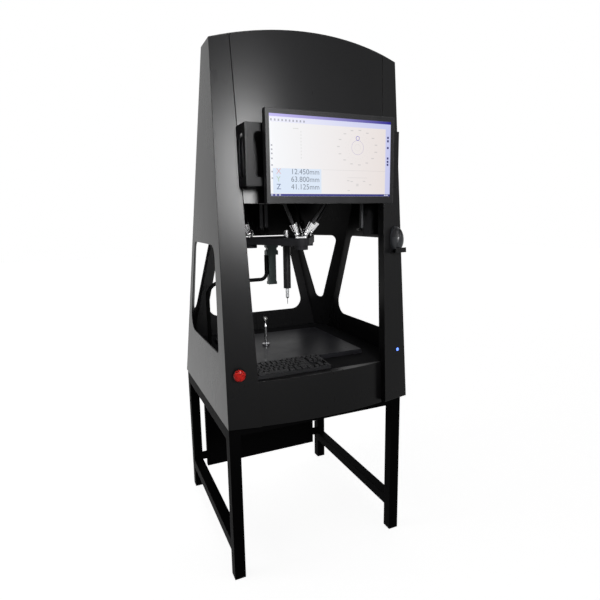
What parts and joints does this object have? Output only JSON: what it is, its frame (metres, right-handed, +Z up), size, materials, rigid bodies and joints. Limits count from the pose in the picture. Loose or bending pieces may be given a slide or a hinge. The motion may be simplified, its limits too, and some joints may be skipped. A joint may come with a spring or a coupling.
{
  "type": "coordinate measuring machine",
  "caption": "Floor-standing coordinate measuring machine: leg stand, folded covers with windows, table, parallel probe mechanism with touch probe, front screen and keyboard.",
  "frame": {"origin": "on the floor, under the probe's axis, at the centre of the machine's plan", "axes": "+Z up, +Y to the back, +X to the right of someone standing in front"},
  "size_m": [0.716, 0.81, 1.876],
  "materials": {
    "stand_paint": "fine textured black powder coat",
    "cover_paint": "fine textured black powder coat",
    "inner_paint": "satin dark coat",
    "table_plate": "dark hard anodised",
    "cast_paint": "painted casting",
    "rail_steel": "ground steel",
    "bright_chrome": "polished",
    "machined": "machined",
    "black_plastic": "fine texture",
    "screen_plastic": "semi gloss",
    "screen_face": "lit display",
    "key_plastic": "fine texture",
    "carbon_tube": "woven fibre tube",
    "rubber_black": "matte",
    "stop_red": "gloss",
    "lamp_blue": "lit lens",
    "rack_grey": "satin anodised",
    "ceramic_white": "polished",
    "mouse_silver": "semi gloss"
  },
  "bodies": {
    "machine": {"apron": "cover_paint", "base_casting": "cast_paint", "base_plate": "stand_paint", "column_brackets": "inner_paint", "crown_plate": "inner_paint", "foot_caps": "black_plastic", "guide_columns": "inner_paint", "guide_rails": "rail_steel", "hood": "cover_paint", "keyboard_case": "black_plastic", "left_rear_facet": "cover_paint", "left_side_panel": "cover_paint", "magnet_tracks": "rail_steel", "measuring_table": "table_plate", "modesty_panel": "stand_paint", "mouse_holder": "cover_paint", "rack_column": "rack_grey", "rack_modules": "rack_grey", "rack_tube": "stand_paint", "rail_stops": "rubber_black", "rear_panel": "cover_paint", "reference_ball": "ceramic_white", "reference_stand": "machined", "right_rear_facet": "cover_paint", "right_side_panel": "cover_paint", "roof": "cover_paint", "screen_bezel": "screen_plastic", "screen_bracket": "cover_paint", "screen_glass": "screen_face", "screen_shell": "screen_plastic", "sill_tray": "inner_paint", "stand_legs": "stand_paint", "stand_low_rails": "stand_paint", "stand_top_rails": "stand_paint", "status_lamp": "lamp_blue", "stop_collar": "black_plastic"},
    "platform_unit": {"platform": "cast_paint", "platform_balls": "bright_chrome", "arm_tubes": "carbon_tube", "arm_ferrules": "bright_chrome", "quill_tube": "carbon_tube", "quill_cap": "bright_chrome", "probe_body": "machined"},
    "stylus_unit": {"stylus": "rail_steel"},
    "stop_plunger_unit": {"stop_plunger": "machined"},
    "stop_head_unit": {"stop_head": "stop_red"},
    "key_unit": {"key_caps": "key_plastic"},
    "mouse_unit": {"mouse_body": "mouse_silver"},
    "mouse_button_unit": {"mouse_buttons": "black_plastic"},
    "mouse_wheel_unit": {"mouse_wheel": "rubber_black"},
    "carriage_rear_unit": {"carriage_rear": "machined", "bearings_rear": "rail_steel", "crossbar_rear": "bright_chrome"},
    "carriage_right_unit": {"carriage_right": "machined", "bearings_right": "rail_steel", "crossbar_right": "bright_chrome"},
    "carriage_left_unit": {"carriage_left": "machined", "bearings_left": "rail_steel", "crossbar_left": "bright_chrome"}
  },
  "joints": [
    {"name": "z_travel", "type": "slide", "parent": "machine", "child": "platform_unit", "axis": [0, 0, 1], "range_m": [-0.17, 0.02]},
    {"name": "stylus_deflection", "type": "hinge", "parent": "platform_unit", "child": "stylus_unit", "pos_m": [0, 0, 0.95815], "axis": [1, 0, 0], "range_deg": [-10, 10], "stiffness_Nm_per_rad": 0.02},
    {"name": "stop_press", "type": "slide", "parent": "machine", "child": "stop_plunger_unit", "axis": [0.1939, 0.9781, -0.0754], "range_m": [0, 0.004]},
    {"name": "stop_twist", "type": "hinge", "parent": "stop_plunger_unit", "child": "stop_head_unit", "pos_m": [-0.313, -0.3245, 0.775], "axis": [-0.1939, -0.9781, 0.0754], "range_deg": [-45, 0], "stiffness_Nm_per_rad": 0.05},
    {"name": "key_press", "type": "slide", "parent": "machine", "child": "key_unit", "axis": [0, 0.0837, -0.9965], "range_m": [0, 0.003], "stiffness_N_per_m": 3000, "springref_m": -0.004},
    {"name": "mouse_lift", "type": "slide", "parent": "machine", "child": "mouse_unit", "axis": [-0.0147, 0.074, 0.9972], "range_m": [0, 0.06]},
    {"name": "mouse_click", "type": "slide", "parent": "mouse_unit", "child": "mouse_button_unit", "axis": [-0.1939, 0.9781, -0.0754], "range_m": [0, 0.0008], "stiffness_N_per_m": 1500, "springref_m": -0.0005},
    {"name": "mouse_scroll", "type": "hinge", "parent": "mouse_unit", "child": "mouse_wheel_unit", "pos_m": [0.32296, -0.31083, 1.22361], "axis": [0.9809, 0.1944, 0], "continuous": true},
    {"name": "carriage_rear_travel", "type": "slide", "parent": "machine", "child": "carriage_rear_unit", "axis": [0, 0, 1], "range_m": [-0.17, 0.02]},
    {"name": "carriage_right_travel", "type": "slide", "parent": "machine", "child": "carriage_right_unit", "axis": [0, 0, 1], "range_m": [-0.17, 0.02]},
    {"name": "carriage_left_travel", "type": "slide", "parent": "machine", "child": "carriage_left_unit", "axis": [0, 0, 1], "range_m": [-0.17, 0.02]}
  ],
  "couplings": [
    {"joint": "carriage_rear_travel", "follows": "z_travel", "ratio": 1},
    {"joint": "carriage_right_travel", "follows": "z_travel", "ratio": 1},
    {"joint": "carriage_left_travel", "follows": "z_travel", "ratio": 1}
  ]
}
